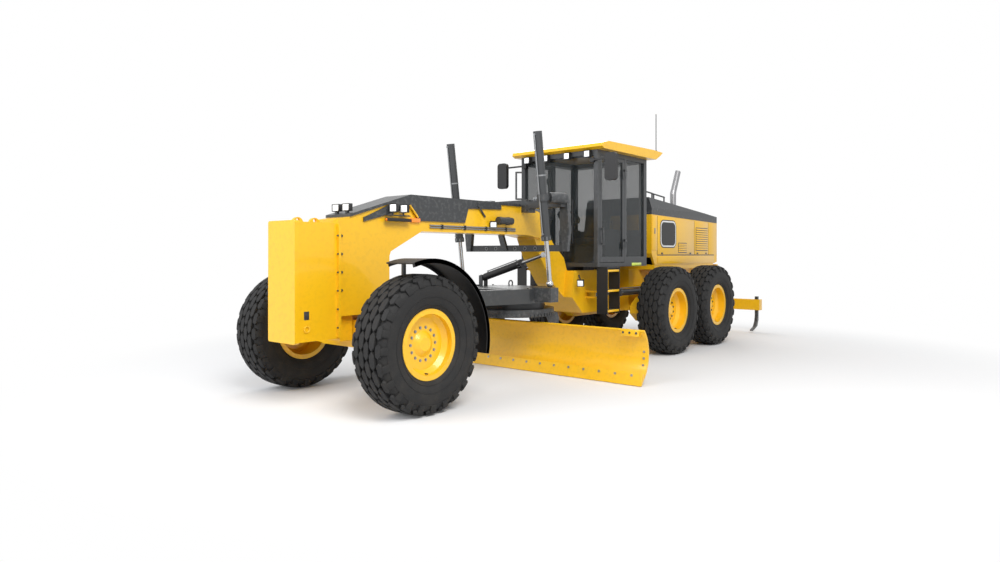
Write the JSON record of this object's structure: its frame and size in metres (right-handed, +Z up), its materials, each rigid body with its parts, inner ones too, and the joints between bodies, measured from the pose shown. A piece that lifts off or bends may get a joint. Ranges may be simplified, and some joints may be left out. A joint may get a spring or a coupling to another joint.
{
  "type": "motor grader",
  "caption": "Three-axle articulated earth grader with a turning circle and curved blade under an arched beam, cab, ripper and counterweight block.",
  "frame": {"origin": "centre of the machine's length and width, at the ground under the wheels", "axes": "+X forwards, +Y to the operator's left, +Z up"},
  "size_m": [10.286, 4.2, 3.87],
  "materials": {
    "yellow_paint": "gloss",
    "charcoal_paint": "satin",
    "black_plastic": "matte",
    "tyre_rubber": "matte",
    "chrome": "polished",
    "bare_steel": "worn",
    "cast_engine": "rough",
    "tinted_glass": "clear",
    "seat_cloth": "woven",
    "lamp_white": "clear"
  },
  "bodies": {
    "rear": {"rear_frame": "yellow_paint", "tandem_axle": "yellow_paint", "engine": "cast_engine", "hood": "yellow_paint", "hood_top": "charcoal_paint", "exhaust": "chrome"},
    "front": {"front_frame": "yellow_paint", "beam_cover": "charcoal_paint", "push_block": "yellow_paint", "front_axle": "yellow_paint", "lift_saddle": "charcoal_paint", "cab_frame": "charcoal_paint", "cab_roof": "yellow_paint", "cab_glass": "tinted_glass", "seat": "seat_cloth", "ladders": "black_plastic", "mirrors": "black_plastic", "work_lamps": "lamp_white"},
    "knuckle_left": {"knuckle_left": "yellow_paint", "fender_left": "black_plastic"},
    "knuckle_right": {"knuckle_right": "yellow_paint", "fender_right": "black_plastic"},
    "tie_rod": {"tie_rod": "charcoal_paint"},
    "drawbar_ball": {"drawbar_ball": "bare_steel"},
    "drawbar": {"drawbar": "charcoal_paint"},
    "circle": {"circle": "charcoal_paint"},
    "blade_carrier": {"blade_carrier": "charcoal_paint"},
    "moldboard": {"moldboard": "yellow_paint"},
    "shift_barrel": {"shift_barrel": "charcoal_paint"},
    "shift_rod": {"shift_rod": "chrome"},
    "ripper": {"ripper_beam": "yellow_paint", "ripper_shanks": "charcoal_paint"},
    "ripper_barrel": {"ripper_barrel": "charcoal_paint"},
    "ripper_rod": {"ripper_rod": "chrome"},
    "wheel_front_left": {"rim_front_left": "yellow_paint", "tyre_front_left": "tyre_rubber"},
    "wheel_middle_left": {"rim_middle_left": "yellow_paint", "tyre_middle_left": "tyre_rubber"},
    "wheel_rear_left": {"rim_rear_left": "yellow_paint", "tyre_rear_left": "tyre_rubber"},
    "lift_barrel_left": {"lift_barrel_left": "charcoal_paint"},
    "lift_rod_left": {"lift_rod_left": "chrome"},
    "articulation_barrel_left": {"articulation_barrel_left": "charcoal_paint"},
    "articulation_rod_left": {"articulation_rod_left": "chrome"},
    "door_left": {"door_left": "charcoal_paint", "door_glass_left": "tinted_glass"},
    "wheel_front_right": {"rim_front_right": "yellow_paint", "tyre_front_right": "tyre_rubber"},
    "wheel_middle_right": {"rim_middle_right": "yellow_paint", "tyre_middle_right": "tyre_rubber"},
    "wheel_rear_right": {"rim_rear_right": "yellow_paint", "tyre_rear_right": "tyre_rubber"},
    "lift_barrel_right": {"lift_barrel_right": "charcoal_paint"},
    "lift_rod_right": {"lift_rod_right": "chrome"},
    "articulation_barrel_right": {"articulation_barrel_right": "charcoal_paint"},
    "articulation_rod_right": {"articulation_rod_right": "chrome"},
    "door_right": {"door_right": "charcoal_paint", "door_glass_right": "tinted_glass"}
  },
  "joints": [
    {"name": "articulation", "type": "hinge", "parent": "rear", "child": "front", "pos_m": [-0.89, 0, 0.93], "axis": [0, 0, 1], "range_deg": [-20, 20]},
    {"name": "wheel_front_left_spin", "type": "hinge", "parent": "knuckle_left", "child": "wheel_front_left", "pos_m": [4.27, 1.0665, 0.692], "axis": [0, 1, 0], "continuous": true},
    {"name": "wheel_middle_left_spin", "type": "hinge", "parent": "rear", "child": "wheel_middle_left", "pos_m": [-1.1195, 1.0665, 0.692], "axis": [0, 1, 0], "continuous": true},
    {"name": "wheel_rear_left_spin", "type": "hinge", "parent": "rear", "child": "wheel_rear_left", "pos_m": [-2.6605, 1.0665, 0.692], "axis": [0, 1, 0], "continuous": true},
    {"name": "wheel_front_right_spin", "type": "hinge", "parent": "knuckle_right", "child": "wheel_front_right", "pos_m": [4.27, -1.0665, 0.692], "axis": [0, 1, 0], "continuous": true},
    {"name": "wheel_middle_right_spin", "type": "hinge", "parent": "rear", "child": "wheel_middle_right", "pos_m": [-1.1195, -1.0665, 0.692], "axis": [0, 1, 0], "continuous": true},
    {"name": "wheel_rear_right_spin", "type": "hinge", "parent": "rear", "child": "wheel_rear_right", "pos_m": [-2.6605, -1.0665, 0.692], "axis": [0, 1, 0], "continuous": true},
    {"name": "steer_left", "type": "hinge", "parent": "front", "child": "knuckle_left", "pos_m": [4.27, 0.8, 0.692], "axis": [0, 0, 1], "range_deg": [-40, 40]},
    {"name": "steer_right", "type": "hinge", "parent": "front", "child": "knuckle_right", "pos_m": [4.27, -0.8, 0.692], "axis": [0, 0, 1], "range_deg": [-40, 40]},
    {"name": "tie_rod_turn", "type": "hinge", "parent": "knuckle_left", "child": "tie_rod", "pos_m": [3.97, 0.8, 0.62], "axis": [0, 0, 1], "range_deg": [-40, 40]},
    {"name": "drawbar_swing", "type": "hinge", "parent": "front", "child": "drawbar_ball", "pos_m": [3.8, 0, 1], "axis": [0, 0, 1], "range_deg": [-8, 8]},
    {"name": "drawbar_lift", "type": "hinge", "parent": "drawbar_ball", "child": "drawbar", "pos_m": [3.8, 0, 1], "axis": [0, 1, 0], "range_deg": [0, 11]},
    {"name": "circle_turn", "type": "hinge", "parent": "drawbar", "child": "circle", "pos_m": [1.57, 0, 0.8], "axis": [0, 0, 1], "continuous": true},
    {"name": "blade_pitch", "type": "hinge", "parent": "circle", "child": "blade_carrier", "pos_m": [1.385, 0, 0.165], "axis": [0, -1, 0], "range_deg": [-42, 5]},
    {"name": "blade_side_shift", "type": "slide", "parent": "blade_carrier", "child": "moldboard", "axis": [0, 1, 0], "range_m": [-0.68, 0.68]},
    {"name": "lift_barrel_left_swing", "type": "hinge", "parent": "front", "child": "lift_barrel_left", "pos_m": [1.833, 0.78, 2.31], "axis": [0.9385, -0.3453, 0], "range_deg": [-17, 17]},
    {"name": "lift_rod_left_slide", "type": "slide", "parent": "lift_barrel_left", "child": "lift_rod_left", "axis": [0.1353, 0, 0.9908], "range_m": [-0.02, 0.42]},
    {"name": "lift_barrel_right_swing", "type": "hinge", "parent": "front", "child": "lift_barrel_right", "pos_m": [1.833, -0.78, 2.31], "axis": [0.9385, 0.3453, 0], "range_deg": [-17, 17]},
    {"name": "lift_rod_right_slide", "type": "slide", "parent": "lift_barrel_right", "child": "lift_rod_right", "axis": [0.1353, 0, 0.9908], "range_m": [-0.02, 0.42]},
    {"name": "shift_barrel_turn", "type": "hinge", "parent": "drawbar", "child": "shift_barrel", "pos_m": [1.592, -0.47, 1.24], "axis": [1, 0, 0], "range_deg": [-23, 2]},
    {"name": "shift_rod_slide", "type": "slide", "parent": "shift_barrel", "child": "shift_rod", "axis": [0, 0.9571, 0.2898], "range_m": [-0.3, 0.3]},
    {"name": "articulation_barrel_left_swing", "type": "hinge", "parent": "rear", "child": "articulation_barrel_left", "pos_m": [-1.35, 0.48, 0.965], "axis": [0, 0, 1], "range_deg": [-15, 15]},
    {"name": "articulation_rod_left_slide", "type": "slide", "parent": "articulation_barrel_left", "child": "articulation_rod_left", "axis": [1, 0, 0], "range_m": [-0.19, 0.19]},
    {"name": "door_left_swing", "type": "hinge", "parent": "front", "child": "door_left", "pos_m": [-0.346, 0.732, 2.2], "axis": [0, 0, 1], "range_deg": [0, 95]},
    {"name": "articulation_barrel_right_swing", "type": "hinge", "parent": "rear", "child": "articulation_barrel_right", "pos_m": [-1.35, -0.48, 0.965], "axis": [0, 0, 1], "range_deg": [-15, 15]},
    {"name": "articulation_rod_right_slide", "type": "slide", "parent": "articulation_barrel_right", "child": "articulation_rod_right", "axis": [1, 0, 0], "range_m": [-0.19, 0.19]},
    {"name": "door_right_swing", "type": "hinge", "parent": "front", "child": "door_right", "pos_m": [-0.346, -0.732, 2.2], "axis": [0, 0, -1], "range_deg": [0, 95]},
    {"name": "ripper_lift", "type": "hinge", "parent": "rear", "child": "ripper", "pos_m": [-4.19, 0, 0.93], "axis": [0, 1, 0], "range_deg": [0, 35]},
    {"name": "ripper_barrel_swing", "type": "hinge", "parent": "rear", "child": "ripper_barrel", "pos_m": [-4.175, 0, 1.33], "axis": [0, 1, 0], "range_deg": [-2, 30]},
    {"name": "ripper_rod_slide", "type": "slide", "parent": "ripper_barrel", "child": "ripper_rod", "axis": [0.7799, 0, 0.6259], "range_m": [-0.02, 0.23]}
  ],
  "couplings": [
    {"joint": "steer_right", "follows": "steer_left", "ratio": 1},
    {"joint": "tie_rod_turn", "follows": "steer_left", "ratio": -1},
    {"joint": "lift_barrel_left_swing", "follows": "drawbar_swing", "ratio": -1.93},
    {"joint": "lift_rod_left_slide", "follows": "drawbar_lift", "m_per_rad": 2.1211},
    {"joint": "lift_barrel_right_swing", "follows": "drawbar_swing", "ratio": -1.93},
    {"joint": "lift_rod_right_slide", "follows": "drawbar_lift", "m_per_rad": 2.1211},
    {"joint": "shift_barrel_turn", "follows": "drawbar_lift", "ratio": -1.78},
    {"joint": "shift_rod_slide", "follows": "drawbar_swing", "m_per_rad": 2.0455},
    {"joint": "articulation_barrel_left_swing", "follows": "articulation", "ratio": 0.676},
    {"joint": "articulation_rod_left_slide", "follows": "articulation", "m_per_rad": -0.4767},
    {"joint": "articulation_barrel_right_swing", "follows": "articulation", "ratio": 0.676},
    {"joint": "articulation_rod_right_slide", "follows": "articulation", "m_per_rad": 0.4767},
    {"joint": "ripper_barrel_swing", "follows": "ripper_lift", "ratio": 0.8},
    {"joint": "ripper_rod_slide", "follows": "ripper_lift", "m_per_rad": 0.3501}
  ]
}
